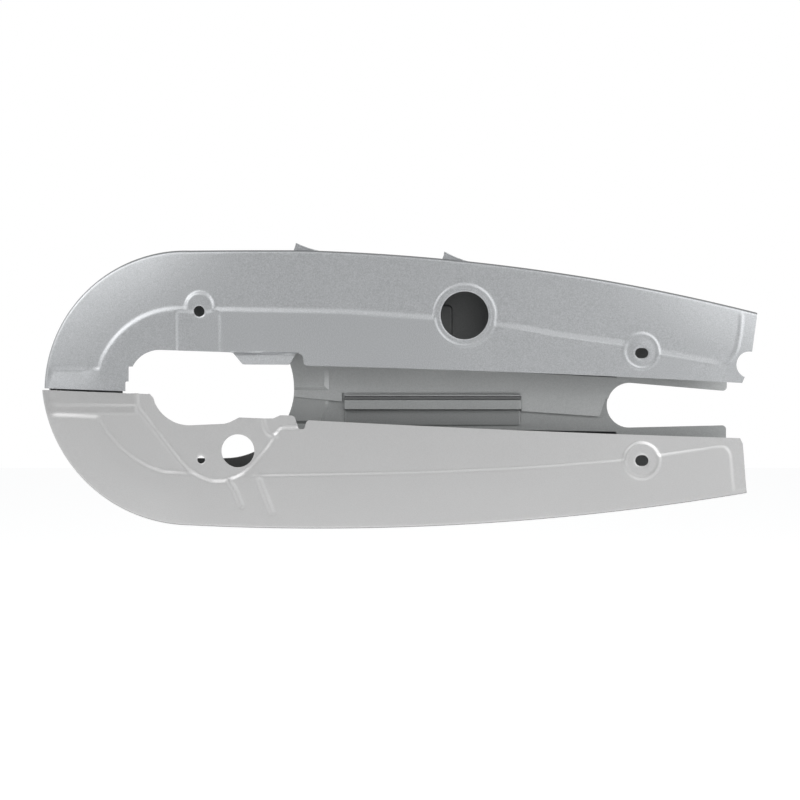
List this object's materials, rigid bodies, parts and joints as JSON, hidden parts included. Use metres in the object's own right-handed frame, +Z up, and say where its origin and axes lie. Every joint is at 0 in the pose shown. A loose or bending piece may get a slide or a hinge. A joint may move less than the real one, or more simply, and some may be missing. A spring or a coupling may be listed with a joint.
{
  "type": "motorcycle chain guard",
  "caption": "Fully enclosing motorcycle chain guard of pressed sheet: long case with round rear end, axle opening and a gap for the swingarm.",
  "frame": {"origin": "centre of the rear axle, in the middle of the case's width", "axes": "+X from the axle towards the engine, +Z up, -Y towards the side with the gap for the swingarm leg"},
  "size_m": [0.518, 0.04, 0.2069],
  "materials": {
    "silver_paint": "semi-gloss silver-grey paint",
    "inner_paint": "semi-gloss silver-grey paint, thinner inside"
  },
  "bodies": {
    "root": {"upper_near_shell": "silver_paint", "lower_near_shell": "silver_paint", "upper_far_shell": "silver_paint", "lower_far_shell": "silver_paint", "joint_strip": "inner_paint", "stay_plate": "inner_paint"}
  },
  "joints": []
}
